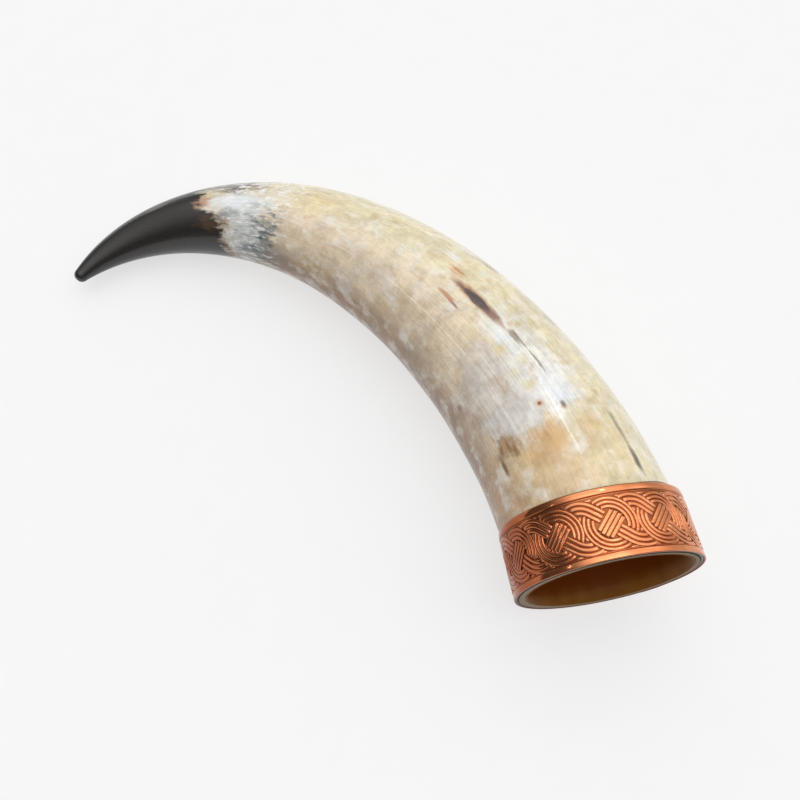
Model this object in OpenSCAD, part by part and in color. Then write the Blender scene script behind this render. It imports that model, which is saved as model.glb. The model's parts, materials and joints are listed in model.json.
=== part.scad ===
// Drinking horn: a hollow horn with a copper band round its mouth, lying on its side as on a table.
// Lengths are in millimetres and angles in degrees. The mouth looks to the front (-Y) and the tip
// points to the left (-X). The origin is on the table, under the middle of the horn's box.

/* [Horn] */
// Length along the middle line, from the mouth to where the tip starts to round off
horn_length = 350; // [310:1:390]
// Outer radius at the mouth
mouth_radius = 38.2; // [35:0.1:42]
// Control radius that shapes the swell next to the mouth
swell_radius = 32.3; // [30:0.1:35]
// Control radius that shapes the taper towards the tip
taper_radius = 28.8; // [26:0.1:31]
// Radius of the rounded tip
tip_radius = 3.6; // [2:0.1:5]
// Bend at the mouth, as degrees over the whole length
mouth_bend = 95; // [70:1:110]
// Bend at mid length, as degrees over the whole length
middle_bend = 96; // [85:1:110]
// Bend at the tip, as degrees over the whole length
tip_bend = 287; // [240:1:320]
// Wall of the horn at the mouth
mouth_wall = 3; // [2.5:0.1:5]
// Depth of the hollow along the middle line
hollow_depth = 218; // [170:1:240]
// Thickness of the sealing coat inside the hollow
coat_thickness = 0.4; // [0.2:0.05:0.8]

/* [Rim band] */
// Height of the band
band_height = 28.7; // [22:0.1:36]
// Thickness of the copper sheet
band_sheet = 0.6; // [0.4:0.05:1]
// Rise of the two borders above the field between them
band_relief = 0.4; // [0.2:0.05:0.8]
// Height of the plain border at the mouth
lower_border = 2.8; // [2:0.1:5]
// Height of the crimped border away from the mouth
upper_border = 2.6; // [2:0.1:5]
// Least thickness of the resin between horn and band
bed_gap = 0.3; // [0.2:0.05:1]
// Depth of the resin below the band's upper edge
bed_setback = 1.2; // [0.5:0.1:3]
// Length of the lap where the strip's two ends meet
lap_length = 7; // [4:0.5:12]
// Place of the lap round the band, from the outer side of the bend towards the table
lap_place = 55; // [30:1:65]
// Width of the solder along the lap's edge
solder_width = 1.6; // [0.8:0.1:3]
// Rise of the solder above the band's borders
solder_rise = 0.2; // [0.1:0.05:0.4]

/* [Hidden] */
ring_sides = 40;
horn_rings = 48;
hollow_rings = 28;
tip_rings = 3;
path_steps = 480;
// Stock that stands past the mouth until the mouth is cut square
overrun = 2;
// Share of the length where the belly of the horn touches the table
belly_share = 0.656;
// Roll about the line of rest at which the horn's weight stands over that line
rest_roll = 4.4;

// Course of the horn: it bends in one plane, leaves the mouth along +Y and turns towards -X
bend_control = 2 * middle_bend - (mouth_bend + tip_bend) / 2;
function heading(t) =
    mouth_bend * (1 - pow(1 - t, 3)) / 3
    + bend_control * (t * t - 2 * pow(t, 3) / 3)
    + tip_bend * pow(t, 3) / 3;
function along(t) = [-sin(heading(t)), cos(heading(t)), 0];
function across(t) = [cos(heading(t)), sin(heading(t)), 0];
path_step = horn_length / path_steps;
path = [
    for (i = 0, p = [0, 0, 0]; i <= path_steps; i = i + 1, p = p + path_step * along((i - 0.5) / path_steps)) p
];
function centre(t) =
    let (k = t * path_steps, i = min(floor(k), path_steps - 1))
    path[i] + (k - i) * (path[i + 1] - path[i]);

// Radii along the horn, outside and in the hollow; an inset shrinks the hollow all over
function outer_radius(t) =
    mouth_radius * pow(1 - t, 3)
    + 3 * swell_radius * t * pow(1 - t, 2)
    + 3 * taper_radius * t * t * (1 - t)
    + tip_radius * pow(t, 3);
function hollow_end(inset) = (hollow_depth - inset) / horn_length;
function hollow_radius(t, inset) =
    (outer_radius(t) - mouth_wall - inset) * sqrt(1 - pow(t / hollow_end(inset), 4));

// Rings of points round the course
function ring(middle, t, radius) = [
    for (k = [0 : ring_sides - 1])
        let (a = 360 * k / ring_sides)
        middle + radius * (cos(a) * across(t) + sin(a) * [0, 0, 1])
];
stock_end = [0, -overrun, 0];
horn_outside = concat(
    [ring(stock_end, 0, mouth_radius)],
    [for (i = [0 : horn_rings]) let (t = i / horn_rings) ring(centre(t), t, outer_radius(t))],
    [
        for (j = [1 : tip_rings - 1])
            let (a = 90 * j / tip_rings)
            ring(centre(1) + tip_radius * sin(a) * along(1), 1, tip_radius * cos(a))
    ]
);
horn_tip = centre(1) + tip_radius * along(1);
function hollow_side(inset) = concat(
    [ring(stock_end, 0, mouth_radius - mouth_wall - inset)],
    [
        for (j = [0 : hollow_rings - 1])
            let (t = hollow_end(inset) * sin(90 * j / hollow_rings))
            ring(centre(t), t, hollow_radius(t, inset))
    ]
);
function hollow_tip(inset) = centre(hollow_end(inset));

// Band: its inner cone clears the horn at the mouth and, at the top, on the inner side of the bend
inner_reach = [for (i = [1 : horn_rings / 2]) let (p = horn_outside[i][ring_sides / 2]) [p.y, -p.x]];
band_mouth_inner = mouth_radius + bed_gap;
band_top_inner = lookup(band_height, inner_reach) + bed_gap;
function band_inner(h) = band_mouth_inner + (band_top_inner - band_mouth_inner) * h / band_height;
field_top = band_height - upper_border;
border_rise = band_sheet + band_relief;
lap_angle = lap_length / band_mouth_inner * 180 / PI;
solder_angle = solder_width / band_mouth_inner * 180 / PI;
// Outer line of the band from the mouth upwards, as radius and height
band_outline = [
    [band_inner(0) + border_rise, 0],
    [band_inner(lower_border) + border_rise, lower_border],
    [band_inner(lower_border) + band_sheet, lower_border],
    [band_inner(field_top) + band_sheet, field_top],
    [band_inner(field_top) + border_rise, field_top],
    [band_inner(band_height) + band_sheet, band_height]
];

// Lay of the horn: it rests on the upper border's lower edge and on the belly
rest_edge = band_outline[4];
rest_run = centre(belly_share) - [0, rest_edge.y, 0];
rest_line = rest_run / norm(rest_run);
rest_side = [rest_line.y, -rest_line.x, 0];
rest_pitch = asin((rest_edge.x - outer_radius(belly_share)) / norm(rest_run));
up = -sin(rest_pitch) * rest_line + cos(rest_pitch) * (sin(rest_roll) * rest_side + cos(rest_roll) * [0, 0, 1]);
right_run = cross([0, 1, 0], up);
right = right_run / norm(right_run);
back = cross(up, right);
// How far horn and band reach in a direction
function band_reach(edge, d) = edge.y * d.y + edge.x * norm([d.x, d.z]);
function horn_reach(d) = max([for (i = [1 : len(horn_outside) - 1]) for (p = horn_outside[i]) p * d]);
function reach(d) = max(horn_reach(d), horn_tip * d, max([for (edge = band_outline) band_reach(edge, d)]));
place = [
    (reach(-right) - reach(right)) / 2,
    (reach(-back) - reach(back)) / 2,
    reach(-up)
];

module laid()
    translate(place)
        multmatrix([
            [right.x, right.y, right.z, 0],
            [back.x, back.y, back.z, 0],
            [up.x, up.y, up.z, 0],
            [0, 0, 0, 1]
        ])
            children();

// Stands a turned shape on the mouth's axis, heights running from the mouth into the horn
module on_mouth()
    rotate([-90, 0, 0])
        children();

module past_the_mouth() {
    side = 4 * mouth_radius;
    translate([-side / 2, -side, -side / 2])
        cube(side);
}

// A wall between an outer and an inner row of rings, closed by a point at the far end of each
module walled(outside, outside_tip, inside, inside_tip) {
    n = ring_sides;
    outside_count = n * len(outside);
    inside_start = outside_count + 1;
    inside_count = n * len(inside);
    points = concat(
        [for (r = outside) each r],
        [outside_tip],
        [for (r = inside) each r],
        [inside_tip]
    );
    outer_faces = [
        for (i = [0 : len(outside) - 2])
            for (k = [0 : n - 1])
                let (a = i * n + k, b = i * n + (k + 1) % n)
                each [[a, b, b + n], [a, b + n, a + n]]
    ];
    inner_faces = [
        for (i = [0 : len(inside) - 2])
            for (k = [0 : n - 1])
                let (a = inside_start + i * n + k, b = inside_start + i * n + (k + 1) % n)
                each [[a, b + n, b], [a, a + n, b + n]]
    ];
    end_faces = [
        for (k = [0 : n - 1])
            let (
                next = (k + 1) % n,
                last_out = outside_count - n,
                last_in = inside_start + inside_count - n
            )
            each [
                [last_out + k, last_out + next, outside_count],
                [last_in + k, inside_start + inside_count, last_in + next],
                [k, inside_start + k, inside_start + next],
                [k, inside_start + next, next]
            ]
    ];
    polyhedron(points, concat(outer_faces, inner_faces, end_faces), convexity = 6);
}

// The solid stretch of horn that fills the band
module horn_plug() {
    n = ring_sides;
    rows = [
        for (i = [0 : horn_rings])
            if (i < 2 || horn_outside[i - 1][n / 2].y < band_height) horn_outside[i]
    ];
    last = n * (len(rows) - 1);
    side_faces = [
        for (i = [0 : len(rows) - 2])
            for (k = [0 : n - 1])
                let (a = i * n + k, b = i * n + (k + 1) % n)
                each [[a, b, b + n], [a, b + n, a + n]]
    ];
    mouth_face = [for (k = [n - 1 : -1 : 0]) k];
    far_face = [for (k = [0 : n - 1]) last + k];
    polyhedron([for (r = rows) each r], concat(side_faces, [mouth_face, far_face]), convexity = 4);
}

// The hollow horn, solid at the tip, with its mouth cut square
module horn()
    color("#c9b08a")
        laid()
            difference() {
                walled(horn_outside, horn_tip, hollow_side(0), hollow_tip(0));
                past_the_mouth();
            }

// Food-safe coat over the whole wall of the hollow
module inner_seal()
    color("#6b3f16")
        laid()
            difference() {
                walled(hollow_side(0), hollow_tip(0), hollow_side(coat_thickness), hollow_tip(coat_thickness));
                past_the_mouth();
            }

// Resin that fills the space between the oval horn and the round band
module adhesive_bed() {
    bed_top = band_height - bed_setback;
    color("#8a7550")
        laid()
            difference() {
                on_mouth()
                    rotate_extrude($fn = 240)
                        polygon([[0, 0], [band_inner(0), 0], [band_inner(bed_top), bed_top], [0, bed_top]]);
                horn_plug();
            }
}

// A sector of strip that covers the band's outer line, up to the line of some of its points raised
module strip(points, rise, turn)
    rotate_extrude(angle = turn, $fn = 96)
        polygon(concat(band_outline, [for (i = points) band_outline[i] + [rise, 0]]));

// Copper strip bent to a ring, with raised borders and one end lapped over the other
module rim_band()
    color("#c77b4e")
        laid()
            on_mouth() {
                rotate_extrude($fn = 96)
                    polygon(concat([[band_inner(0), 0]], band_outline, [[band_inner(band_height), band_height]]));
                rotate(lap_place)
                    strip([5, 4, 3, 2, 1, 0], band_sheet, lap_angle);
            }

// Solder that runs along the edge of the lap
module seam_solder()
    color("#b9b2a6")
        laid()
            on_mouth()
                rotate(lap_place + lap_angle)
                    strip([5, 4, 1, 0], solder_rise, solder_angle);

horn();
inner_seal();
adhesive_bed();
rim_band();
seam_solder();
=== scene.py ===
import json
import math

import bmesh
import bpy
from mathutils import Matrix, Vector, noise


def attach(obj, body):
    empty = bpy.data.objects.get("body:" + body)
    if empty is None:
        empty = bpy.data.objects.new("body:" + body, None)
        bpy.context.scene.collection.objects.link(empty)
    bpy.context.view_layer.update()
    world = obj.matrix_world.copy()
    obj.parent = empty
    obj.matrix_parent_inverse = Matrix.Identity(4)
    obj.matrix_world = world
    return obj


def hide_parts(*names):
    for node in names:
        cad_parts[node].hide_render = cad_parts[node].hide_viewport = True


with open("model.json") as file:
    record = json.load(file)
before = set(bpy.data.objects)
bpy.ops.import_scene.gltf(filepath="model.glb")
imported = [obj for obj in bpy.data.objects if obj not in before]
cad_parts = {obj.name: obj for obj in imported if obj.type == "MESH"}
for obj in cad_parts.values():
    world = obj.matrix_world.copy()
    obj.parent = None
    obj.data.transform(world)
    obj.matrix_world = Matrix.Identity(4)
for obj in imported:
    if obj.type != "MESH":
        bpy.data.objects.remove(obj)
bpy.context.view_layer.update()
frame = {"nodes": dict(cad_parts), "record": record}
mm = 0.001
scene = bpy.context.scene
scene.view_settings.view_transform = "Standard"
print("frame loaded:", sorted(frame["nodes"]))


# sRGB hex to the linear colour that the shaders take
def linear(hexColour):
    parts = [int(hexColour[i:i + 2], 16) / 255 for i in (1, 3, 5)]
    return [c / 12.92 if c <= 0.04045 else ((c + 0.055) / 1.055) ** 2.4 for c in parts] + [1]


# adds a node: settings go to its properties or sockets, links join sockets to outputs
def addNode(tree, kind, settings={}, links={}):
    node = tree.nodes.new(kind)
    for name, value in settings.items():
        if isinstance(name, str) and hasattr(node, name):
            setattr(node, name, value)
        else:
            node.inputs[name].default_value = value
    for name, output in links.items():
        tree.links.new(output, node.inputs[name])
    return node


def newMaterial(name):
    material = bpy.data.materials.new(name)
    material.use_nodes = True
    material.node_tree.nodes.clear()
    return material


def newObject(bm, name, material):
    mesh = bpy.data.meshes.new(name)
    bm.to_mesh(mesh)
    bm.free()
    mesh.materials.append(material)
    made = bpy.data.objects.new(name, mesh)
    scene.collection.objects.link(made)
    print(name, len(mesh.polygons), "faces")
    return made


# place of the horn: its own axes run out of the bend, into the horn and up from the bend
mouthLay = {
    "bendRoll": 6.2815,  # turn of the bend's plane about the mouth's axis, degrees
    "mountOut": 36.7,  # mm from the mouth's middle to the mount on the rim
}
rimMount = next(m for m in frame["record"]["mounts"] if m["name"] == "mouth_rim")
intoHorn = -Vector(rimMount["axis"]).normalized()
levelSide = Vector((1, 0, 0))
bendRoll = math.radians(mouthLay["bendRoll"])
outOfBend = levelSide * math.cos(bendRoll) + levelSide.cross(intoHorn) * math.sin(bendRoll)
upFromBend = outOfBend.cross(intoHorn)
hornToRow = Matrix((outOfBend, intoHorn, upFromBend)).transposed().to_4x4()
hornToRow.translation = Vector(rimMount["pos_m"]) - outOfBend * mouthLay["mountOut"] * mm
hornToRow = hornToRow @ Matrix.Scale(mm, 4)


# smooths a piece made on the horn's own axes, puts it in its place and ties it to the frame
def finishPiece(bm, name, material, node):
    for face in bm.faces:
        face.smooth = True
    bmesh.ops.transform(bm, matrix=hornToRow, verts=bm.verts)
    piece = newObject(bm, name, material)
    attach(piece, "root")
    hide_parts(node)


# the horn's course and girth, in mm and degrees, the same as in the solids
hornShape = {
    "length": 350,
    "radii": (38.2, 32.3, 28.8, 3.6),  # control radii from the mouth to the tip
    "bends": (95, 1, 287),  # control bends, degrees over the whole length
    "wall": 3.0,
    "hollow": 218,
    "coat": 0.4,
    "coatGap": 0.02,  # keeps the coat's back just off the wall
    "sides": 144,
    "rings": 220,
    "tipRings": 8,
    "hollowRings": 56,
    "rimRound": 0.7,
    "rimTurns": (22.5, 45, 67.5, 90),
    "waver": 0.3,  # mm that the hand-scraped surface departs from round
    "waverSize": 34,  # mm from one swell to the next
    "waverStart": 34,  # mm from the mouth, clear of the band
    "waverFades": (20, 60),  # mm over which it comes in and dies out at the tip
    "mouthSlide": 0.5,  # mm that the mouth sits off the middle line, with the band
    "hollowSlide": 0.6,  # mm more for the hollow, so that the rim is thinner on its outer side
    "slideLength": 45,
}
hornEnd = hornShape["length"]
mouthRadius, tipRadius = hornShape["radii"][0], hornShape["radii"][-1]
straightRadius = 30  # mm, radius of the straightened horn that the patterns are laid on


def bezier(points, t):
    n = len(points) - 1
    return sum(math.comb(n, i) * p * t ** i * (1 - t) ** (n - i) for i, p in enumerate(points))


def headingAt(t):
    first, middle, last = hornShape["bends"]
    turn = first * (1 - (1 - t) ** 3) / 3 + middle * (t * t - 2 * t ** 3 / 3) + last * t ** 3 / 3
    return math.radians(turn)


courseSteps = 1404
courseStep = hornEnd / courseSteps
course = [Vector((0, 0, 0))]
for i in range(courseSteps):
    turn = headingAt((i + 0.5) / courseSteps)
    course.append(course[-1] + courseStep * Vector((-math.sin(turn), math.cos(turn), 0)))


# matrix that stands a flat ring of radius 1 on the course
def ringPlace(t, radius, past=0.0):
    k = min(max(t, 0) * courseSteps, courseSteps - 1e-6)
    i = int(k)
    middle = course[i].lerp(course[i + 1], k - i)
    turn = headingAt(t)
    middle = middle + past * Vector((-math.sin(turn), math.cos(turn), 0))
    stand = Matrix.Rotation(turn, 4, "Z") @ Matrix.Rotation(math.pi / 2, 4, "X")
    return Matrix.Translation(middle) @ stand @ Matrix.Diagonal((radius, radius, radius, 1))


# a ring of the given radius, so many mm from the mouth and slid off the middle line near it
def ringAt(along, radius, slide=0.0):
    t = min(along / hornEnd, 1)
    fade = max(0, 1 - along / hornShape["slideLength"]) ** 2
    shift = Matrix.Translation(((hornShape["mouthSlide"] + slide) * fade, 0, 0))
    return shift @ ringPlace(t, radius, max(0, along - hornEnd)), along


# extrudes a circle from ring to ring, closes it and notes each point's place on the straightened horn
def sweepRings(bm, rings, closed=False):
    straight = bm.verts.layers.float_vector.new("straight")
    place, along = rings[0]
    circle = bmesh.ops.create_circle(bm, segments=hornShape["sides"], radius=1, matrix=place)
    first = last = circle["verts"]
    edges = bm.edges[:]
    for step, (ring, along) in enumerate(rings):
        if step:
            grown = bmesh.ops.extrude_edge_only(bm, edges=edges)["geom"]
            last = [g for g in grown if isinstance(g, bmesh.types.BMVert)]
            kept = set(last)
            edges = [g for g in grown if isinstance(g, bmesh.types.BMEdge) and kept.issuperset(g.verts)]
            bmesh.ops.transform(bm, matrix=ring @ place.inverted(), verts=last)
            place = ring
        back = ring.inverted()
        for v in last:
            flat = back @ v.co
            v[straight] = Vector((flat.x, flat.y, 0)).normalized() * straightRadius + Vector((0, 0, along))
    if closed:
        bmesh.ops.remove_doubles(bm, verts=bm.verts, dist=0.001)
    for end in () if closed else (first, last):
        bmesh.ops.pointmerge(bm, verts=end, merge_co=sum((v.co for v in end), Vector()) / len(end))
    bmesh.ops.recalc_face_normals(bm, faces=bm.faces)
    return straight


def tipRings():
    count = hornShape["tipRings"]
    turns = [math.pi / 2 * j / count for j in range(count - 1, 0, -1)]
    return [ringAt(hornEnd + tipRadius * math.sin(a), tipRadius * math.cos(a)) for a in turns]


def outerRings(start):
    count = hornShape["rings"]
    places = [start + (hornEnd - start) * (1 - i / count) for i in range(count + 1)]
    return [ringAt(s, bezier(hornShape["radii"], s / hornEnd)) for s in places]


# the rim's two rounded edges, from outside to inside
def rimRings():
    edge = hornShape["rimRound"]
    inside = mouthRadius - hornShape["wall"]
    slide = hornShape["hollowSlide"]
    turns = [math.radians(a) for a in hornShape["rimTurns"]]
    outer = [ringAt(edge * (1 - math.sin(a)), mouthRadius - edge * (1 - math.cos(a))) for a in turns]
    inner = [ringAt(edge * (1 - math.sin(a)), inside + edge * (1 - math.cos(a)), slide) for a in reversed(turns)]
    return outer + inner


# the wall of the hollow from near the mouth to its round bottom, inset by the coat's thickness
def hollowRings(start, inset):
    end = hornShape["hollow"] - inset
    low = math.asin(start / end)
    rings = []
    for j in range(hornShape["hollowRings"]):
        along = end * math.sin(low + (math.pi / 2 - low) * j / hornShape["hollowRings"])
        girth = bezier(hornShape["radii"], along / hornEnd) - hornShape["wall"] - inset
        radius = girth * math.sqrt(max(0, 1 - (along / end) ** 4))
        rings.append(ringAt(along, radius, hornShape["hollowSlide"]))
    return rings


def makeHorn(material):
    bm = bmesh.new()
    edge = hornShape["rimRound"]
    straight = sweepRings(bm, tipRings() + outerRings(edge) + rimRings() + hollowRings(edge, 0))
    # slow swells of the scraped surface, on the outside only, none under the band and none at the tip
    fadeIn, fadeOut = hornShape["waverFades"]
    for v in bm.verts:
        along = v[straight].z
        fade = min(1, max(0, (along - hornShape["waverStart"]) / fadeIn))
        fade *= min(1, max(0, (hornEnd - along) / fadeOut))
        middle = course[min(int(along / courseStep), courseSteps)]
        if fade and (v.co - middle).length > bezier(hornShape["radii"], along / hornEnd) - 1:
            swell = noise.noise(v[straight] / hornShape["waverSize"]) * hornShape["waver"] * fade
            v.co += (v.co - middle).normalized() * swell
    # share of the wall's thickness on the sawn edge: 0 at the hollow, 1 under the band
    rimShare = bm.verts.layers.float.new("rimShare")
    for v in bm.verts:
        if v[straight].z < edge + 0.01:
            out = math.hypot(v.co.x - hornShape["mouthSlide"], v.co.z)
            v[rimShare] = (out - mouthRadius) / hornShape["wall"] + 1
    finishPiece(bm, "hornBody", material, "horn")


def makeLining(material):
    bm = bmesh.new()
    wallSide = hollowRings(0, hornShape["coatGap"])
    sweepRings(bm, wallSide[::-1] + hollowRings(0, hornShape["coat"]))
    finishPiece(bm, "hollowLining", material, "inner_seal")


# the copper band is made flat, with its interlace, and then bent round the mouth
bandShape = {
    "height": 28.8,
    "innerMouth": 38.84,
    "innerTop": 38.17,
    "mouthSlide": 0.8,  # mm that the band sits off the mouth's middle, at its mouth edge and at its top
    "topSlide": -0.32,
    "sheet": 0.6,
    "lapAt": -55.0,  # degrees round the mouth from the outer side of the bend, where the under end stops
    "lapTurn": 10.42,
    "lapRamp": 8.0,  # degrees over which the upper end climbs on to the lower one
    "bendRadius": 39.1,
    "step": 0.68,
}
flatPerDegree = math.radians(1) * bandShape["bendRadius"]
stripLength = (360 + bandShape["lapTurn"]) * flatPerDegree
lapEdge = bandShape["lapTurn"] * flatPerDegree  # mm along the strip to where its other end lies on it

# outline of the strip's section: height above the sheet's back, height above the mouth
stripSection = [
    (0.0, 0.05), (0.62, 0.0), (0.86, 0.06), (0.98, 0.22), (1.0, 0.5),
    (1.0, 2.1), (0.97, 2.28), (0.86, 2.38), (0.62, 2.46), (0.54, 2.56),
    (0.62, 2.66), (0.74, 2.74), (0.78, 2.84), (0.74, 2.94), (0.62, 3.02),
    (0.58, 3.2), (0.58, 14.0), (0.58, 24.9), (0.62, 25.12), (0.74, 25.22),
    (0.78, 25.34), (0.74, 25.46), (0.62, 25.56), (0.54, 25.68), (0.6, 25.8),
    (0.86, 25.92), (0.97, 26.06), (1.0, 26.3), (0.95, 27.2), (0.86, 28.2),
    (0.76, 28.5), (0.5, 28.72), (0.1, 28.8), (-0.5, 28.7), (-0.5, 28.2), (0.0, 27.4),
]
sheetTop = 0.58

# interlace of three-strand ribbons, mm from the middle of a knot
knot = {
    "pitch": 21.6,
    "firstMiddle": 148.6,  # mm along the strip to one knot's middle
    "level": 13.8,
    "ringEdges": (6.0, 7.75, 9.45, 11.1),
    "crossEdges": (5.5, 7.45, 9.5, 11.4),
    "crossMiddle": 12.0,
    "crossSlope": 41.0,
    "crossStart": 150.0,  # degrees, where the crossing ribbon's arc begins
    "crossSteps": 60,
    "blockWidth": 7.0,
    "blockBars": 4,
    "blockTurn": 47.0,
    "blockShift": (0.15, -0.2),
    "blockShort": 0.1,  # mm that the block stays inside the ring
    "blockSteps": 12,
    "blockTuck": 0.2,
    "groove": 0.06,
    "tuck": 0.12,  # mm that a ribbon runs on under the one that crosses it
    "rise": 0.46,
    "dip": 0.2,
    "dipLength": 1.6,
    "spacing": 0.5,
    "copies": (-7, 6),
    "startClear": 1.3,  # mm from the lap's edge, clear of the solder
    "endClear": 0.15,
    # corners of the small pads that fill the gaps between ribbons and borders
    "pads": [
        [(3.9, 10.75), (7.6, 10.75), (5.5, 9.6)],
        [(-8.6, 10.75), (-3.7, 10.75), (-6.1, 9.75)],
        [(9.5, 5.0), (11.5, 4.9), (10.6, 2.6)],
    ],
    "padFoot": -0.05,
    "padRise": 0.3,
    "padTop": 0.7,  # size of a pad's top as a share of its foot
}
# sections of a strand and of a block's bar: share of the half width, share of the rise
strandSection = [
    (-1.0, -0.3), (-0.95, 0.12), (-0.78, 0.58), (-0.52, 0.86), (-0.18, 1.0),
    (0.18, 1.0), (0.52, 0.86), (0.78, 0.58), (0.95, 0.12), (1.0, -0.3),
]
barSection = [
    (-1.0, -0.3), (-0.97, 0.4), (-0.86, 0.8), (-0.62, 0.97), (-0.2, 1.0),
    (0.2, 1.0), (0.62, 0.97), (0.86, 0.8), (0.97, 0.4), (1.0, -0.3),
]


def pointAt(degrees, radius=1.0):
    turn = math.radians(degrees)
    return radius * Vector((math.cos(turn), math.sin(turn)))


# extrudes a closed section through rows of points and closes both ends
def sweepSection(bm, rows):
    verts = [bm.verts.new(spot) for spot in rows[0]]
    edges = [bm.edges.new(pair) for pair in zip(verts, verts[1:] + verts[:1])]
    bm.faces.new(verts)
    for spots in rows[1:]:
        grown = bmesh.ops.extrude_edge_only(bm, edges=edges)["geom"]
        fresh = {tuple(v.co): v for v in grown if isinstance(v, bmesh.types.BMVert)}
        verts = [fresh[tuple(v.co)] for v in verts]
        edges = [bm.edges.get(pair) for pair in zip(verts, verts[1:] + verts[:1])]
        for v, spot in zip(verts, spots):
            v.co = spot
    bm.faces.new(verts)


# lays a strand along a row of points on the flat strip, dipping at its ends where others cross it
def layStrand(bm, points, section, width, dips):
    lengths = [0.0]
    for a, b in zip(points, points[1:]):
        lengths.append(lengths[-1] + (b - a).length)
    halfWidth = (width - knot["groove"]) / 2
    rows = []
    for i, point in enumerate(points):
        ahead = points[min(i + 1, len(points) - 1)] - points[max(i - 1, 0)]
        across = Vector((-ahead.y, ahead.x)).normalized()
        nearEnd = min(lengths[i], lengths[-1] - lengths[i])
        low = max(0, 1 - nearEnd / knot["dipLength"]) if dips else 0
        base = sheetTop - knot["dip"] * low * low
        rows.append([(point + across * q * halfWidth).to_3d() + Vector((0, 0, base + z * knot["rise"]))
                     for q, z in section])
    sweepSection(bm, rows)


# half of one knot: the ring's upper arch and the crossing ribbon that comes in from the left
def makeHalfKnot(bm):
    ring, cross, tuck = knot["ringEdges"], knot["crossEdges"], knot["tuck"]
    square = 90 - knot["crossSlope"]
    away = knot["crossMiddle"] * math.sin(math.radians(knot["crossSlope"]))
    for inner, outer in zip(ring, ring[1:]):
        radius = (inner + outer) / 2
        # from the crossing ribbon's outer edge over the top to the next one's inner edge
        start = square + math.degrees(math.acos((cross[-1] - away - tuck) / radius))
        end = square - math.degrees(math.acos((away - cross[0] - tuck) / radius))
        steps = math.ceil(math.radians(start - end) * radius / knot["spacing"])
        path = [pointAt(start + (end - start) * i / steps, radius) for i in range(steps + 1)]
        layStrand(bm, path, strandSection, outer - inner, True)
    ahead = pointAt(-knot["crossSlope"])
    blockEdge = pointAt(knot["blockTurn"] + 90)
    before = Vector((-knot["pitch"], 0))
    middle = Vector((-knot["crossMiddle"], 0))
    steps = knot["crossSteps"]
    for inner, outer in zip(cross, cross[1:]):
        radius = (inner + outer) / 2
        path = []
        for i in range(steps + 1):
            point = middle + pointAt(knot["crossStart"] + (square - knot["crossStart"]) * i / steps, radius)
            if (point - before).length > ring[-1] - tuck:
                path.append(point)
        point = middle + pointAt(square, radius) + ahead * knot["spacing"]
        while point.dot(blockEdge) >= knot["blockWidth"] / 2 - knot["blockTuck"]:
            path.append(point)
            point = point + ahead * knot["spacing"]
        layStrand(bm, path, strandSection, outer - inner, True)
    for corners in knot["pads"]:
        face = bm.faces.new([bm.verts.new((x, y, sheetTop + knot["padFoot"])) for x, y in corners])
        made = bmesh.ops.extrude_face_region(bm, geom=[face])["geom"]
        top = [g for g in made if isinstance(g, bmesh.types.BMVert)]
        centre = sum((v.co for v in top), Vector()) / len(top)
        for v in top:
            v.co = centre + (v.co - centre) * knot["padTop"] + Vector((0, 0, knot["padRise"]))


# copies what the bmesh holds and gives the copy's points
def copyVerts(bm, geom):
    copied = bmesh.ops.duplicate(bm, geom=geom)["geom"]
    return [g for g in copied if isinstance(g, bmesh.types.BMVert)]


def makeKnot(bm):
    makeHalfKnot(bm)
    turned = copyVerts(bm, bm.verts[:] + bm.edges[:] + bm.faces[:])
    bmesh.ops.rotate(bm, verts=turned, cent=(0, 0, 0), matrix=Matrix.Rotation(math.pi, 3, "Z"))
    ahead, across = pointAt(knot["blockTurn"]), pointAt(knot["blockTurn"] + 90)
    bars, steps = knot["blockBars"], knot["blockSteps"]
    bar = knot["blockWidth"] / bars
    for i in range(bars):
        aside = (i - (bars - 1) / 2) * bar
        half = math.sqrt(knot["ringEdges"][0] ** 2 - aside ** 2) - knot["blockShort"]
        middle = Vector(knot["blockShift"]) + across * aside
        path = [middle + ahead * half * (2 * k / steps - 1) for k in range(steps + 1)]
        layStrand(bm, path, barSection, bar, False)


def makeStrip(bm):
    steps = round(stripLength / bandShape["step"])
    sweepSection(bm, [[(stripLength * i / steps, h, z) for z, h in stripSection] for i in range(steps + 1)])


def makeInterlace(bm):
    makeKnot(bm)
    bmesh.ops.translate(bm, verts=bm.verts, vec=(knot["firstMiddle"], knot["level"], 0))
    one = bm.verts[:] + bm.edges[:] + bm.faces[:]
    for k in range(*knot["copies"]):
        if k:
            bmesh.ops.translate(bm, verts=copyVerts(bm, one), vec=(k * knot["pitch"], 0, 0))
    # the pattern stops at the strip's two ends
    for place, facing in ((lapEdge + knot["startClear"], -1), (stripLength - knot["endClear"], 1)):
        geom = bm.verts[:] + bm.edges[:] + bm.faces[:]
        cut = bmesh.ops.bisect_plane(
            bm, geom=geom, plane_co=(place, 0, 0), plane_no=(facing, 0, 0), clear_outer=True)
        bmesh.ops.holes_fill(bm, edges=[g for g in cut["geom_cut"] if isinstance(g, bmesh.types.BMEdge)])


# the band's inner radius and its slide off the mouth's middle, at a share of its height
def bandAt(share):
    radius = bandShape["innerMouth"] + (bandShape["innerTop"] - bandShape["innerMouth"]) * share
    slide = bandShape["mouthSlide"] + (bandShape["topSlide"] - bandShape["mouthSlide"]) * share
    return radius, slide


# bends a point of the flat strip round the mouth; the upper end climbs over the lower one
def bendRound(point):
    turn = point.x / flatPerDegree
    climb = min(1, max(0, (turn - 360 + bandShape["lapRamp"]) / bandShape["lapRamp"]))
    climb = climb * climb * (3 - 2 * climb)
    radius, slide = bandAt(point.y / bandShape["height"])
    out = pointAt(bandShape["lapAt"] - turn, radius + point.z + climb * bandShape["sheet"])
    return Vector((out.x + slide, point.y, out.y))


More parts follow.
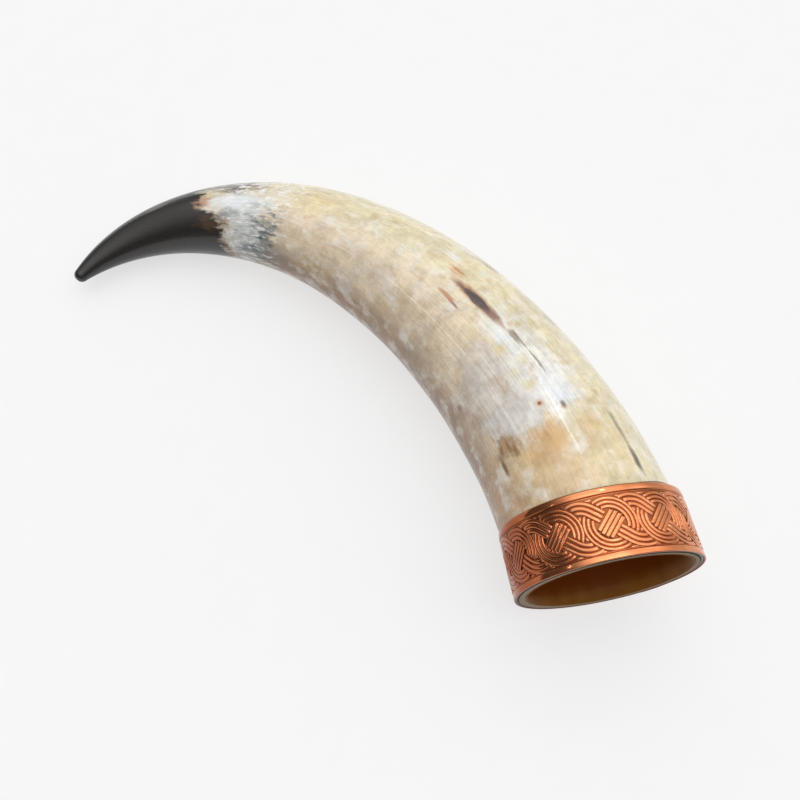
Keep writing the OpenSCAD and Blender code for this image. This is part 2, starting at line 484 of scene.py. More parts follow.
def makeBand(material):
    pattern = bmesh.new()
    makeInterlace(pattern)
    drawn = bpy.data.meshes.new("interlace")
    pattern.to_mesh(drawn)
    pattern.free()
    bm = bmesh.new()
    makeStrip(bm)
    bm.from_mesh(drawn)
    bpy.data.meshes.remove(drawn)
    bmesh.ops.recalc_face_normals(bm, faces=bm.faces)
    relief = bm.verts.layers.float.new("relief")
    flat = bm.verts.layers.float_vector.new("flat")
    for v in bm.verts:
        v[relief] = (v.co.z - sheetTop) / knot["rise"]
        v[flat] = v.co
        v.co = bendRound(v.co)
    finishPiece(bm, "copperBand", material, "rim_band")


# resin between horn and band: a ring from just inside the mouth to just below the band's top
resinShape = {
    "start": 0.25,
    "end": 27.6,
    "rings": 8,
    "overlap": 0.1,  # mm that it reaches into horn and band
}


def makeResin(material):
    bm = bmesh.new()
    start, end, overlap = resinShape["start"], resinShape["end"], resinShape["overlap"]
    heights = [start + (end - start) * i / resinShape["rings"] for i in range(resinShape["rings"] + 1)]
    rings = []
    for h in heights:
        radius, slide = bandAt(h / bandShape["height"])
        radius += overlap
        stand = Matrix.Translation((slide, h, 0)) @ Matrix.Rotation(math.pi / 2, 4, "X")
        rings.append((stand @ Matrix.Diagonal((radius, radius, radius, 1)), h))
    rings += [ringAt(h, bezier(hornShape["radii"], h / hornEnd) - overlap) for h in reversed(heights)]
    sweepRings(bm, rings + rings[:1], closed=True)
    finishPiece(bm, "resinBed", material, "adhesive_bed")


# bead of solder along the edge of the lap
solderShape = {
    "width": 1.5,
    "widthWaver": 0.25,  # shares by which its width and height come and go
    "rise": 0.55,
    "riseWaver": 0.3,
    "sunk": 0.1,
    "inside": 0.25,  # mm inside the lap's edge
    "start": 0.35,  # mm above the mouth
    "shorter": 0.8,  # mm less than the band's height
    "field": (2.9, 25.8),  # mm above the mouth, between the borders
    "onBorder": 0.95,
    "steps": 60,
    "sides": 8,
}


def makeSolder(material):
    bm = bmesh.new()
    half = solderShape["width"] / 2
    middle = lapEdge - solderShape["inside"] + half
    low, high = solderShape["field"]
    rows = []
    for i in range(solderShape["steps"] + 1):
        h = solderShape["start"] + (bandShape["height"] - solderShape["shorter"]) * i / solderShape["steps"]
        base = (sheetTop if low <= h <= high else solderShape["onBorder"]) - solderShape["sunk"]
        wide = half * (1 + solderShape["widthWaver"] * noise.noise(Vector((h * 0.7, 3.1, 0))))
        tall = solderShape["rise"] * (1 + solderShape["riseWaver"] * noise.noise(Vector((h * 0.5, 7.7, 0))))
        turns = [math.pi * k / solderShape["sides"] for k in range(solderShape["sides"] + 1)]
        rows.append([bendRound(Vector((middle - wide * math.cos(a), h, base + tall * math.sin(a)))) for a in turns])
    sweepSection(bm, rows)
    bmesh.ops.recalc_face_normals(bm, faces=bm.faces)
    finishPiece(bm, "lapSolder", material, "seam_solder")


# polished cattle horn: marbled cream and tan with fine fibres, white clouds, dark stains and a near-black tip
hornFinish = {
    # the inner side's colour is darkened partly as painted shade
    "sides": ("#966c49", "#e8d4b8", "#e4d8b4"),  # inner side of the bend, top and underside, outer side
    "whiteBlots": "#efebe0",
    "tanFlecks": "#bb9c72",
    "tipWhite": "#f3f3f0",
    "tipSlate": "#525c64",
    "tipFlecks": "#f6f4ef",
    "tip": "#241f1d",
    "sawnEdge": "#a08d77",
    # dark line at the rim: resin, partly painted shadow of the gap under the band
    "resinAndShadowLine": "#2e241d",
    "roughness": (0.24, 0.36),
    "sawnRoughness": 0.6,  # added on the sawn edge, where the polish stops
    "coat": 0.3,
    "coatRoughness": 0.08,
    "wideMark": 3.4,  # mm of half width above which a mark's edge is wildly torn
    "longStroke": 1.8,  # mm of half length above which a narrow mark's edge is gently torn
    "markDepth": 40.0,  # mm that a mark reaches into the horn, past its wall
}
hornMarks = [
    # mm from the mouth, degrees round, half length, half width, edge softness, colour, strength
    (40, 108, 24, 13, 0.35, "#dfc293", 0.88),  # amber stretch next to the band
    (42, 68, 23, 8, 0.4, "#dbc69a", 0.8),
    (40, 150, 26, 9, 0.5, "#bd9468", 0.75),
    (86, 112, 22, 13, 0.35, "#d8d2cb", 0.85),  # whitish brushed stretch
    (84, 78, 19, 9, 0.4, "#e9e8e4", 0.85),
    (72, 112, 8.5, 13, 0.18, "#ded8d2", 0.7),
    (72, 82, 8, 9, 0.2, "#edecea", 0.7),
    (112, 80, 9, 6, 0.7, "#ecebe6", 0.7),
    (105, 85, 8, 3.8, 0.7, "#e6ebee", 0.75),
    (74, 76, 9, 3.8, 0.6, "#e8edf2", 0.75),
    (88, 142, 9, 4.2, 0.7, "#a88f7f", 0.65),
    (131, 155, 12, 9, 0.8, "#a8987a", 0.5),
    (158, 152, 9, 8, 0.8, "#b0936f", 0.5),
    (186, 144, 4, 7, 0.8, "#dcd2c6", 0.5),
    (210, 154, 11, 7, 0.7, "#c2a679", 0.6),
    (221, 78, 13, 8, 0.55, "#ecd9a8", 0.75),
]
hornStains = [
    (63, 129, 4.5, 5, 0.4, "#ae8860", 0.8),  # brown tide mark at the amber's edge
    (55.6, 136, 5, 0.9, 0.6, "#744a2c", 0.85),
    (63, 133, 3, 0.8, 0.7, "#8f6444", 0.75),
    (58.4, 122.5, 2.8, 1.2, 0.7, "#8f6236", 0.75),
    (61, 126, 4, 0.6, 0.6, "#96704c", 0.7),
    (60.5, 117, 3.5, 0.7, 0.7, "#a57c50", 0.6),
    (54, 101, 8, 6, 0.7, "#d0a468", 0.75),
    (55, 94, 6, 3.3, 0.6, "#d8ad70", 0.7),
    (57, 100, 2, 1.4, 0.7, "#b5834a", 0.6),
    (50, 75.5, 6, 2, 0.8, "#c49a6a", 0.5),
    (57, 66, 5, 2.4, 0.8, "#cba66e", 0.55),
    (127, 79.9, 15, 2.3, 0.4, "#a5683a", 0.85),  # dark spindle with its brown rim and broken tail
    (117.5, 79.2, 5, 1.6, 0.5, "#7f5f4e", 0.85),
    (134.5, 80.8, 6.5, 1.0, 0.5, "#6b4028", 0.8),
    (127, 80.2, 7.8, 1.8, 0.28, "#3b2f32", 0.97),
    (110.6, 80, 3, 0.6, 0.6, "#b08a62", 0.6),
    (103.4, 78.4, 4, 1.1, 0.5, "#8a745e", 0.8),
    (101.5, 76.6, 5, 0.4, 0.5, "#7d6c5a", 0.7),
    (88.8, 76.7, 6, 0.4, 0.5, "#7d6f60", 0.75),
    (132.5, 96.2, 4.4, 0.6, 0.5, "#9c583c", 0.85),  # short strokes beside it
    (138, 94.6, 4.6, 1.0, 0.5, "#c08456", 0.85),
    (143.8, 74.6, 3.6, 0.7, 0.6, "#cb9866", 0.75),
    (144.4, 70.8, 4, 0.9, 0.6, "#bf7b47", 0.8),
    (81, 91.3, 2.4, 1.9, 0.7, "#dcd09a", 0.7),  # yellow spots
    (88.4, 95.4, 2.6, 1.9, 0.7, "#dccfa4", 0.55),
    (101.3, 92.9, 2.6, 2.0, 0.7, "#d9c88a", 0.75),
    (92.5, 84.2, 2.2, 1.6, 0.7, "#d9cf9c", 0.6),
    (116, 101.7, 3.4, 2.4, 0.7, "#d8c89a", 0.6),
    (107.5, 69.2, 1.3, 1.3, 0.7, "#c8a468", 0.7),
    (83.4, 56.7, 1.4, 2.6, 0.7, "#d3bd88", 0.6),
    (151.5, 60.8, 4, 2.2, 0.6, "#f1f0ea", 0.8),  # white and grey spots
    (136.6, 56, 3, 1.8, 0.7, "#f0eee4", 0.7),
    (169, 117, 5, 3.3, 0.7, "#e4ddd2", 0.5),
    (141, 34.5, 4, 3, 0.6, "#8a6a45", 0.55),
    (106.8, 30.6, 4, 2.5, 0.7, "#8f8676", 0.5),
    (37.2, 49.8, 5.2, 1.0, 0.7, "#37363c", 0.85),  # two dark smudges next to the band
    (52.5, 49.8, 5.4, 1.0, 0.8, "#6a6560", 0.7),
    (45, 49.8, 6, 0.45, 0.6, "#8a8580", 0.5),
    (71.3, 92.9, 1.7, 1.5, 0.8, "#cc955c", 0.75),  # two dots
    (71.3, 92.9, 0.8, 0.65, 0.5, "#7d2f14", 0.95),
    (65.6, 79, 1.0, 0.8, 0.7, "#c08048", 0.8),
    (66.9, 79, 1.4, 0.8, 0.6, "#57504e", 0.8),
    (94, 146.5, 1.8, 1.4, 0.6, "#8a5c38", 0.6),
]
tipMarks = [
    (231, 160, 7, 9, 0.8, "#857f74", 0.6),
    (268, 44, 18, 8, 0.6, "#7d7874", 0.85),
    (254, 135, 11, 24, 0.35, "#d3d7d5", 0.95),  # white stretch before the tip
    (250, 96, 10, 7, 0.5, "#dfe0dd", 0.8),
    (243, 74, 9, 6, 0.8, "#e2d9c6", 0.7),
    (262, 90, 9, 8, 0.5, "#e3e9ee", 0.9),
    (240.5, 145, 4, 12, 0.8, "#6f767a", 0.6),  # slate clouds on it
    (249, 163, 9, 6, 0.7, "#6a6e70", 0.75),
    (243, 131, 3.5, 6, 0.7, "#66717b", 0.75),
    (265, 112, 4, 4.2, 0.7, "#73818e", 0.75),
    (262, 70, 5, 5, 0.7, "#6f6664", 0.8),
    (262, 61, 12, 5.5, 0.6, "#736b67", 0.85),
    (259.6, 136, 1.8, 1.2, 0.6, "#47473f", 0.85),
    (266, 125, 2.2, 3.2, 0.7, "#a5805c", 0.8),
]
edgeMarks = [
    (275, 127, 5, 5.5, 0.8, "#5d4331", 0.7),  # brown and pale patches on the tip's torn edge
    (277.5, 88.5, 5.5, 5, 0.55, "#c29b7f", 0.9),
    (271, 94, 4, 4.5, 0.6, "#e2e5e6", 0.7),
    (303, 66, 5, 3, 0.8, "#8d857c", 0.45),
]


def makeHornMaterial():
    material = newMaterial("polishedCattleHorn")
    tree = material.node_tree
    straight = addNode(tree, "ShaderNodeAttribute", {"attribute_name": "straight"}).outputs["Vector"]
    places = addNode(tree, "ShaderNodeSeparateXYZ", {}, {0: straight}).outputs
    aside, along = places["X"], places["Z"]  # mm towards the bend's outer side, mm from the mouth

    # noise with sizes in mm across and along the horn
    def grain(wide, long, detail, roughness, shift, swirl=0.0):
        stretched = addNode(
            tree, "ShaderNodeMapping",
            {"Location": (shift, shift, shift), "Scale": (1 / wide, 1 / wide, 1 / long)}, {"Vector": straight})
        return addNode(
            tree, "ShaderNodeTexNoise",
            {"Scale": 1.0, "Detail": detail, "Roughness": roughness, "Distortion": swirl},
            {"Vector": stretched.outputs[0]}).outputs

    # share of a zone with soft edges, each given as a value, where it starts and where it is full
    def zone(*edges):
        share = None
        for value, start, full in edges:
            edge = addNode(
                tree, "ShaderNodeMapRange",
                {"interpolation_type": "SMOOTHSTEP", "From Min": start, "From Max": full},
                {"Value": value}).outputs[0]
            share = edge if share is None else addNode(
                tree, "ShaderNodeMath", {"operation": "MULTIPLY"}, {0: share, 1: edge}).outputs[0]
        return share

    # lays a colour on where a value goes from start to full, inside a zone if there is one
    def layColour(colour, paint, value, start, full, strength=1.0, inside=None):
        share = addNode(
            tree, "ShaderNodeMapRange",
            {"interpolation_type": "SMOOTHSTEP", "From Min": start, "From Max": full, "To Max": strength},
            {"Value": value}).outputs[0]
        if inside is not None:
            share = addNode(tree, "ShaderNodeMath", {"operation": "MULTIPLY"}, {0: share, 1: inside}).outputs[0]
        return addNode(
            tree, "ShaderNodeMix", {"data_type": "RGBA", 7: linear(paint)}, {0: share, 6: colour}).outputs[2]

    # darkens and lightens a colour with a noise, by shares of it
    def tone(colour, pattern, low, high, darker, lighter, inside=None):
        change = addNode(
            tree, "ShaderNodeMapRange",
            {"interpolation_type": "SMOOTHSTEP", "From Min": low, "From Max": high,
             "To Min": darker, "To Max": lighter},
            {"Value": pattern}).outputs[0]
        factor = addNode(
            tree, "ShaderNodeMath", {"operation": "MULTIPLY_ADD", 1: 1.0, 2: 1.0},
            {0: change} if inside is None else {0: change, 1: inside}).outputs[0]
        return addNode(
            tree, "ShaderNodeVectorMath", {"operation": "SCALE"}, {0: colour, "Scale": factor}).outputs[0]

    # places pushed about by noise, so that marks and zones have torn edges
    def torn(wide, long, push, shift):
        tear = grain(wide, long, 5, 0.65, shift)["Color"]
        centred = addNode(
            tree, "ShaderNodeVectorMath", {"operation": "SUBTRACT", 1: (0.5, 0.5, 0.5)}, {0: tear}).outputs[0]
        return addNode(
            tree, "ShaderNodeVectorMath", {"operation": "MULTIPLY_ADD", 1: push},
            {0: centred, 2: straight}).outputs[0]

    wildly = torn(6, 9, (18, 18, 26), 3.0)
    gently = torn(2.5, 6, (2.2, 2.2, 9), 5.0)
    fine = grain(1.8, 9, 5, 0.65, 7.0)[0]
    patchy = addNode(
        tree, "ShaderNodeMapRange",
        {"interpolation_type": "SMOOTHSTEP", "From Min": 0.25, "From Max": 0.5, "To Min": 0.55},
        {"Value": fine}).outputs[0]

    # wide marks get wild edges, strokes gentle ones, and dots stay round
    def paintMarks(colour, marks):
        for s, a, halfLong, halfWide, soft, paint, strength in marks:
            stroke = gently if halfLong > hornFinish["longStroke"] else straight
            spread = wildly if halfWide > hornFinish["wideMark"] else stroke
            local = addNode(
                tree, "ShaderNodeMapping",
                {"vector_type": "TEXTURE", "Location": (*pointAt(a, straightRadius), s),
                 "Rotation": (0, 0, math.radians(a)), "Scale": (hornFinish["markDepth"], halfWide, halfLong)},
                {"Vector": spread}).outputs[0]
            reach = addNode(tree, "ShaderNodeVectorMath", {"operation": "LENGTH"}, {0: local}).outputs["Value"]
            colour = layColour(colour, paint, reach, 1 + soft, 1 - soft, strength, patchy)
        return colour

    # pinkish beige on the inner side of the bend, darker there partly as painted shade, cream on the outer side
    shadedInnerSide, middleSide, outerSide = hornFinish["sides"]
    colour = addNode(
        tree, "ShaderNodeMix", {"data_type": "RGBA", 6: linear(shadedInnerSide), 7: linear(middleSide)},
        {0: zone((aside, -30.5, -21.5))}).outputs[2]
    colour = layColour(colour, outerSide, aside, -10, 10)
    colour = paintMarks(colour, hornMarks)
    # marbling: slow clouds, white blots, tan flecks and small cells
    colour = tone(colour, grain(10, 12, 4, 0.6, 1.0)[0], 0.36, 0.64, -0.13, 0.07)
    colour = layColour(colour, hornFinish["whiteBlots"], grain(7, 8, 5, 0.6, 23.0)[0], 0.46, 0.7, 0.65)
    colour = layColour(colour, hornFinish["tanFlecks"], grain(6, 7, 5, 0.62, 29.0)[0], 0.5, 0.74, 0.5)
    colour = tone(colour, grain(2.2, 2.6, 5, 0.65, 13.0)[0], 0.3, 0.7, -0.08, 0.07)
    colour = paintMarks(colour, hornStains)
    colour = paintMarks(colour, tipMarks)
    # white blots, slate streaks and white flecks where pale horn turns to dark
    turning = zone((along, 229, 242), (along, 282, 262))
    streaked = zone((along, 230, 238), (along, 264, 246), (aside, 2, -8))
    flecked = zone((along, 222, 236), (along, 268, 256), (aside, -8, 0))
    colour = layColour(
        colour, hornFinish["tipWhite"], grain(3.6, 5.5, 4, 0.6, 43.0)[0], 0.5, 0.62, 0.8, turning)
    colour = layColour(
        colour, hornFinish["tipSlate"], grain(2.6, 7, 5, 0.64, 41.0, 0.6)[0], 0.49, 0.62, 0.72, streaked)
    colour = layColour(
        colour, hornFinish["tipFlecks"], grain(2.2, 3.6, 4, 0.6, 47.0)[0], 0.55, 0.6, 0.95, flecked)
    # near-black tip with a torn edge, set back where the pale tongue runs into it
    tearing = addNode(tree, "ShaderNodeSeparateXYZ", {}, {0: wildly}).outputs["Z"]
    tongue = addNode(
        tree, "ShaderNodeMath", {"operation": "MULTIPLY_ADD", 1: -10.0},
        {0: zone((aside, -16, -4)), 2: tearing}).outputs[0]
    colour = layColour(colour, hornFinish["tip"], tongue, 264, 271)
    colour = paintMarks(colour, edgeMarks)
    # hairlines left by scraping, plainest on the whitish stretch
    scraped = zone((along, 48, 62), (along, 160, 100))
    colour = tone(colour, grain(0.45, 26, 3, 0.6, 17.0)[0], 0.32, 0.68, -0.1, 0.08, scraped)
    # fibres, drawn half a millimetre wide so that they show
    fibres = grain(0.5, 16, 3, 0.6, 11.0)[0]
    colour = tone(colour, fibres, 0.3, 0.7, -0.08, 0.06)
    # sawn and sanded grey edge of the mouth, dark where the resin meets it: resin and a painted shadow of the gap
    # under the band
    colour = layColour(colour, hornFinish["sawnEdge"], along, 1.2, 0.6)
    rimShare = addNode(tree, "ShaderNodeAttribute", {"attribute_name": "rimShare"}).outputs["Fac"]
    colour = layColour(colour, hornFinish["resinAndShadowLine"], rimShare, 0.7, 0.84, 0.95)

    # the polish stops at the sawn edge, which stays matt
    sawn = zone((along, 1.2, 0.6))
    polish = addNode(
        tree, "ShaderNodeMapRange",
        {"interpolation_type": "SMOOTHSTEP", "From Min": 0.3, "From Max": 0.7,
         "To Min": hornFinish["roughness"][0], "To Max": hornFinish["roughness"][1]}, {"Value": fine}).outputs[0]
    roughness = addNode(
        tree, "ShaderNodeMath", {"operation": "MULTIPLY_ADD", 1: hornFinish["sawnRoughness"]},
        {0: sawn, 2: polish}).outputs[0]
    coat = addNode(
        tree, "ShaderNodeMapRange",
        {"interpolation_type": "SMOOTHSTEP", "To Min": hornFinish["coat"], "To Max": 0.0}, {"Value": sawn}).outputs[0]
    height = addNode(
        tree, "ShaderNodeMath", {"operation": "MULTIPLY_ADD", 1: 0.5}, {0: fibres, 2: fine}).outputs[0]
    bump = addNode(tree, "ShaderNodeBump", {"Strength": 0.16, "Distance": 0.4 * mm}, {"Height": height}).outputs[0]
    shader = addNode(
        tree, "ShaderNodeBsdfPrincipled", {"IOR": 1.5, "Coat Roughness": hornFinish["coatRoughness"]},
        {"Base Color": colour, "Roughness": roughness, "Coat Weight": coat, "Normal": bump})
    addNode(tree, "ShaderNodeOutputMaterial", {}, {"Surface": shader.outputs[0]})
    return material


# clear coat over the inside of the horn: amber near the mouth, brown to black flames deeper in
liningFinish = {
    "mouth": "#85591c",
    "inside": "#763504",
    "deep": "#140d09",
    "flames": (7, 26),  # mm across and along
    "flameReach": 14.0,
    "brownFrom": (4.0, 17.0),  # mm from the mouth
    "blackFrom": (60.0, 130.0),
    "roughness": 0.5,
}


def makeLiningMaterial():
    material = newMaterial("sealedHornInside")
    tree = material.node_tree
    straight = addNode(tree, "ShaderNodeAttribute", {"attribute_name": "straight"}).outputs["Vector"]
    across, along = liningFinish["flames"]
    stretched = addNode(
        tree, "ShaderNodeMapping", {"Scale": (1 / across, 1 / across, 1 / along)}, {"Vector": straight}).outputs[0]
    flames = addNode(
        tree, "ShaderNodeTexNoise", {"Scale": 1.0, "Detail": 5.0, "Roughness": 0.6}, {"Vector": stretched}).outputs[0]
    fromMouth = addNode(tree, "ShaderNodeSeparateXYZ", {}, {0: straight}).outputs["Z"]
    reach = addNode(
        tree, "ShaderNodeMath", {"operation": "MULTIPLY_ADD", 1: liningFinish["flameReach"]},
        {0: flames, 2: fromMouth}).outputs[0]
    brown, black = [
        addNode(
            tree, "ShaderNodeMapRange",
            {"interpolation_type": "SMOOTHSTEP", "From Min": start, "From Max": full}, {"Value": reach}).outputs[0]
        for start, full in (liningFinish["brownFrom"], liningFinish["blackFrom"])]
    colour = addNode(
        tree, "ShaderNodeMix",
        {"data_type": "RGBA", 6: linear(liningFinish["mouth"]), 7: linear(liningFinish["inside"])},
        {0: brown}).outputs[2]
    colour = addNode(
        tree, "ShaderNodeMix", {"data_type": "RGBA", 7: linear(liningFinish["deep"])},
        {0: black, 6: colour}).outputs[2]
    shader = addNode(
        tree, "ShaderNodeBsdfPrincipled",
        {"IOR": 1.45, "Specular IOR Level": 0.15, "Roughness": liningFinish["roughness"]}, {"Base Color": colour})
    addNode(tree, "ShaderNodeOutputMaterial", {}, {"Surface": shader.outputs[0]})
    return material


# pressed copper sheet: bright rubbed strands, brown tarnish left in the grooves, and a painted dark reflection on the
# inner side of the bend
copperFinish = {
    "groove": "#7e4122",
    "rubbed": "#e89d6e",
    "rubbedFrom": (-0.2, 0.5),  # shares of the strands' rise
    "worn": "#dc9a6c",
    "wornSize": 9,  # mm from one worn patch to the next
    "scuffed": "#c98a64",
    "scratches": (14, 0.6),  # mm along and across the strip
    # painted dark reflection: a darker stretch of the copper on the inner side of the bend
    "paintedDarkReflection": "#baa399",
    "paintedReflectionEnds": ((150.0, 120.0), (52.0, 78.0)),  # mm along the strip, on the inner side of the bend
    "paintedReflectionWaver": 30.0,
    "roughness": (0.36, 0.13),  # in the grooves and on the strands
}


def makeCopperMaterial():
    material = newMaterial("pressedCopperSheet")
    tree = material.node_tree
    relief = addNode(tree, "ShaderNodeAttribute", {"attribute_name": "relief"}).outputs["Fac"]
    flat = addNode(tree, "ShaderNodeAttribute", {"attribute_name": "flat"}).outputs["Vector"]
    low, high = copperFinish["rubbedFrom"]
    rubbed = addNode(
        tree, "ShaderNodeMapRange", {"interpolation_type": "SMOOTHSTEP", "From Min": low, "From Max": high},
        {"Value": relief}).outputs[0]
    patches = addNode(
        tree, "ShaderNodeTexNoise", {"Scale": 1 / copperFinish["wornSize"], "Detail": 4.0, "Roughness": 0.6},
        {"Vector": flat}).outputs[0]
    long, wide = copperFinish["scratches"]
    stretched = addNode(
        tree, "ShaderNodeMapping", {"Scale": (1 / long, 1 / wide, 1.0)}, {"Vector": flat}).outputs[0]
    lines = addNode(tree, "ShaderNodeTexNoise", {"Scale": 1.0, "Detail": 3.0}, {"Vector": stretched}).outputs[0]
    worn = addNode(
        tree, "ShaderNodeMapRange", {"From Min": 0.3, "From Max": 0.7, "To Max": 0.4}, {"Value": patches}).outputs[0]
    scuffs = addNode(
        tree, "ShaderNodeMapRange", {"From Min": 0.35, "From Max": 0.7, "To Max": 0.4}, {"Value": lines}).outputs[0]
    # the painted dark reflection on the inner side of the bend has cloudy ends
    along = addNode(tree, "ShaderNodeSeparateXYZ", {}, {0: flat}).outputs["X"]
    cloudy = addNode(
        tree, "ShaderNodeMath", {"operation": "MULTIPLY_ADD", 1: copperFinish["paintedReflectionWaver"]},
        {0: patches, 2: along}).outputs[0]
    ends = [
        addNode(
            tree, "ShaderNodeMapRange",
            {"interpolation_type": "SMOOTHSTEP", "From Min": clear, "From Max": full}, {"Value": cloudy}).outputs[0]
        for clear, full in copperFinish["paintedReflectionEnds"]]
    darkReflectionShare = addNode(tree, "ShaderNodeMath", {"operation": "MULTIPLY"}, {0: ends[0], 1: ends[1]}).outputs[0]
    colour = addNode(
        tree, "ShaderNodeMix",
        {"data_type": "RGBA", 6: linear(copperFinish["groove"]), 7: linear(copperFinish["rubbed"])},
        {0: rubbed}).outputs[2]
    for share, paint in ((worn, "worn"), (darkReflectionShare, "paintedDarkReflection"), (scuffs, "scuffed")):
        colour = addNode(
            tree, "ShaderNodeMix",
            {"data_type": "RGBA", "blend_type": "MULTIPLY", 7: linear(copperFinish[paint])},
            {0: share, 6: colour}).outputs[2]
    grooveRough, strandRough = copperFinish["roughness"]
    rough = addNode(
        tree, "ShaderNodeMapRange", {"To Min": grooveRough, "To Max": strandRough}, {"Value": rubbed}).outputs[0]
    bump = addNode(tree, "ShaderNodeBump", {"Strength": 0.14, "Distance": 0.2 * mm}, {"Height": lines}).outputs[0]
    shader = addNode(
        tree, "ShaderNodeBsdfPrincipled", {"Metallic": 1.0},
        {"Base Color": colour, "Roughness": rough, "Normal": bump})
    addNode(tree, "ShaderNodeOutputMaterial", {}, {"Surface": shader.outputs[0]})
    return material


# soft solder: dull grey metal with a cooled, slightly pitted skin
solderFinish = {
    "colours": ("#8f8a82", "#bdb8ae"),
    "grainsPerMetre": 900.0,  # pits 1.1 mm apart, coarser than real ones so that they show
    "bump": (0.3, 0.3),  # strength, mm
    "shader": {"Metallic": 1.0, "Roughness": 0.42},
}
# set resin between band and horn: dark amber, smooth where it flowed
resinFinish = {
    "colours": ("#3a2a1a", "#6a5234"),
    "grainsPerMetre": 220.0,  # swirls 4.5 mm apart
    "bump": (0.15, 0.4),
    "shader": {"IOR": 1.55, "Roughness": 0.3},
}


# the two fillings, solder and resin: two shades and a bump from one noise
def makeFillingMaterial(name, finish):
    material = newMaterial(name)
    tree = material.node_tree
    spot = addNode(tree, "ShaderNodeTexCoord").outputs["Object"]
    pits = addNode(
        tree, "ShaderNodeTexNoise", {"Scale": finish["grainsPerMetre"], "Detail": 3.0}, {"Vector": spot}).outputs[0]
    dark, pale = finish["colours"]
    colour = addNode(
        tree, "ShaderNodeMix", {"data_type": "RGBA", 6: linear(dark), 7: linear(pale)}, {0: pits}).outputs[2]
    strength, depth = finish["bump"]
    bump = addNode(
        tree, "ShaderNodeBump", {"Strength": strength, "Distance": depth * mm}, {"Height": pits}).outputs[0]
    shader = addNode(tree, "ShaderNodeBsdfPrincipled", finish["shader"], {"Base Color": colour, "Normal": bump})
    addNode(tree, "ShaderNodeOutputMaterial", {}, {"Surface": shader.outputs[0]})
    return material


makeHorn(makeHornMaterial())
makeLining(makeLiningMaterial())
makeBand(makeCopperMaterial())
makeSolder(makeFillingMaterial("softSolder", solderFinish))
makeResin(makeFillingMaterial("setResin", resinFinish))

# floor, light and camera
studio = {
    "floorSide": 1.3,
    "floorLevel": -0.0003,  # metres, just under the horn
    "floorColours": ("#e2e2e2", "#e8e8e8"),
    "floorSpecks": 60.0,  # to the metre
    "floorGlow": 0.65,  # share of plain white on the floor, for the camera and in reflections
    "dim": 0.15,
    "softLights": [
        # direction, cosines of the outer and inner edge, strength
        ((0.08, 0.22, 0.97), (0.28, 0.95), 1.36),
        ((-0.02, 0.11, 0.99), (0.9, 0.985), 0.7),
        ((0.95, 0.19, 0.22), (0.78, 0.97), 0.6),
    ],
    "shadedLeft": (-0.95, -0.35),
    "lamps": [
        # name, place in metres, size, watts: each gives one thin streak of light on the horn
        ("smallRight", (0.287, 0.609, 1.178), (0.03, 0.13), 0.3),
        ("smallLeft", (-0.973, 0.273, 0.827), (0.045, 0.045), 0.08),
    ],
    "aim": (0.04, -0.03, 0.05),
}


def makeFloor():
    bm = bmesh.new()
    bmesh.ops.create_grid(bm, x_segments=4, y_segments=4, size=studio["floorSide"] / 2)
    bmesh.ops.translate(bm, verts=bm.verts, vec=(0, 0, studio["floorLevel"]))
    material = newMaterial("paleStudioFloor")
    tree = material.node_tree
    spot = addNode(tree, "ShaderNodeTexCoord").outputs["Object"]
    speck = addNode(tree, "ShaderNodeTexNoise", {"Scale": studio["floorSpecks"]}, {"Vector": spot}).outputs[0]
    dark, pale = studio["floorColours"]
    colour = addNode(
        tree, "ShaderNodeMix", {"data_type": "RGBA", 6: linear(dark), 7: linear(pale)}, {0: speck}).outputs[2]
    paint = addNode(tree, "ShaderNodeBsdfDiffuse", {}, {"Color": colour})
    glow = addNode(tree, "ShaderNodeEmission", {"Color": (1, 1, 1, 1), "Strength": 1.0})
    rays = addNode(tree, "ShaderNodeLightPath").outputs
    seen = rays["Is Camera Ray"]
    for other in ("Is Glossy Ray", "Is Transmission Ray"):
        seen = addNode(tree, "ShaderNodeMath", {"operation": "MAXIMUM"}, {0: seen, 1: rays[other]}).outputs[0]
    share = addNode(
        tree, "ShaderNodeMath", {"operation": "MULTIPLY", 1: studio["floorGlow"]}, {0: seen}).outputs[0]
    mixed = addNode(tree, "ShaderNodeMixShader", {}, {0: share, 1: paint.outputs[0], 2: glow.outputs[0]})
    addNode(tree, "ShaderNodeOutputMaterial", {}, {"Surface": mixed.outputs[0]})
    newObject(bm, "studioFloor", material)


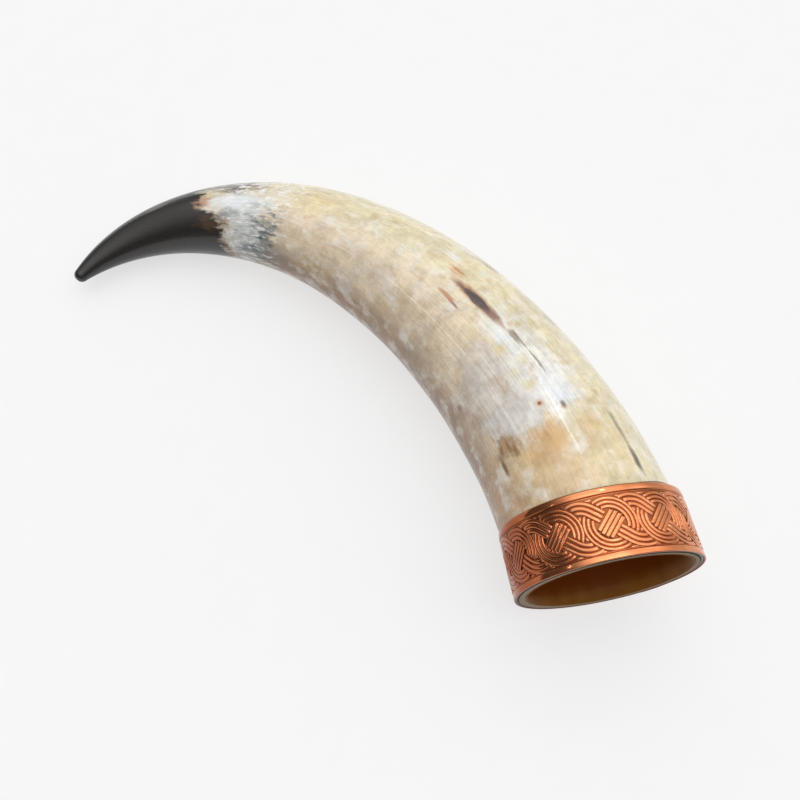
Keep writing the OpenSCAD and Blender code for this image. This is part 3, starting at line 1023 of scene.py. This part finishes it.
def makeLight():
    world = bpy.data.worlds.new("studioSky")
    scene.world = world
    world.use_nodes = True
    tree = world.node_tree
    tree.nodes.clear()
    ahead = addNode(tree, "ShaderNodeTexCoord").outputs["Generated"]
    side = addNode(tree, "ShaderNodeSeparateXYZ", {}, {0: ahead}).outputs["X"]
    shaded, clear = studio["shadedLeft"]
    unshaded = addNode(
        tree, "ShaderNodeMapRange", {"interpolation_type": "SMOOTHSTEP", "From Min": shaded, "From Max": clear},
        {"Value": side}).outputs[0]
    level = None
    for toward, (outer, inner), strength in studio["softLights"]:
        facing = addNode(
            tree, "ShaderNodeVectorMath", {"operation": "DOT_PRODUCT", 1: Vector(toward).normalized()},
            {0: ahead}).outputs["Value"]
        soft = addNode(
            tree, "ShaderNodeMapRange",
            {"interpolation_type": "SMOOTHSTEP", "From Min": outer, "From Max": inner, "To Max": strength},
            {"Value": facing}).outputs[0]
        level = addNode(
            tree, "ShaderNodeMath", {"operation": "MULTIPLY_ADD", 2: studio["dim"]},
            {0: soft, 1: unshaded} if level is None else {0: soft, 1: unshaded, 2: level}).outputs[0]
    sky = addNode(tree, "ShaderNodeBackground", {"Color": (1, 1, 1, 1)}, {"Strength": level})
    addNode(tree, "ShaderNodeOutputWorld", {}, {"Surface": sky.outputs[0]})
    for name, place, size, watts in studio["lamps"]:
        lamp = bpy.data.lights.new(name, "AREA")
        lamp.shape = "RECTANGLE"
        lamp.size, lamp.size_y = size
        lamp.energy = watts
        holder = bpy.data.objects.new(name, lamp)
        holder.location = place
        holder.rotation_euler = (Vector(place) - Vector(studio["aim"])).to_track_quat("Z", "Y").to_euler()
        scene.collection.objects.link(holder)


# camera that stands where the photo was taken from
view = {
    "place": (-12.1, -186.03, 458.46),  # mm
    "tilt": 21.926,  # degrees up from straight down
    "turn": -10.205,
    "lens": 46.09,
    "sensor": 36.0,
}


def makeCamera():
    lens = bpy.data.cameras.new("photoCamera")
    lens.lens = view["lens"]
    lens.sensor_width = view["sensor"]
    lens.sensor_fit = "HORIZONTAL"
    lens.clip_start = 0.01
    camera = bpy.data.objects.new("photoCamera", lens)
    camera.location = Vector(view["place"]) * mm
    camera.rotation_euler = (math.radians(view["tilt"]), 0, math.radians(view["turn"]))
    scene.collection.objects.link(camera)
    scene.camera = camera


makeFloor()
makeLight()
makeCamera()
print("studio ready")
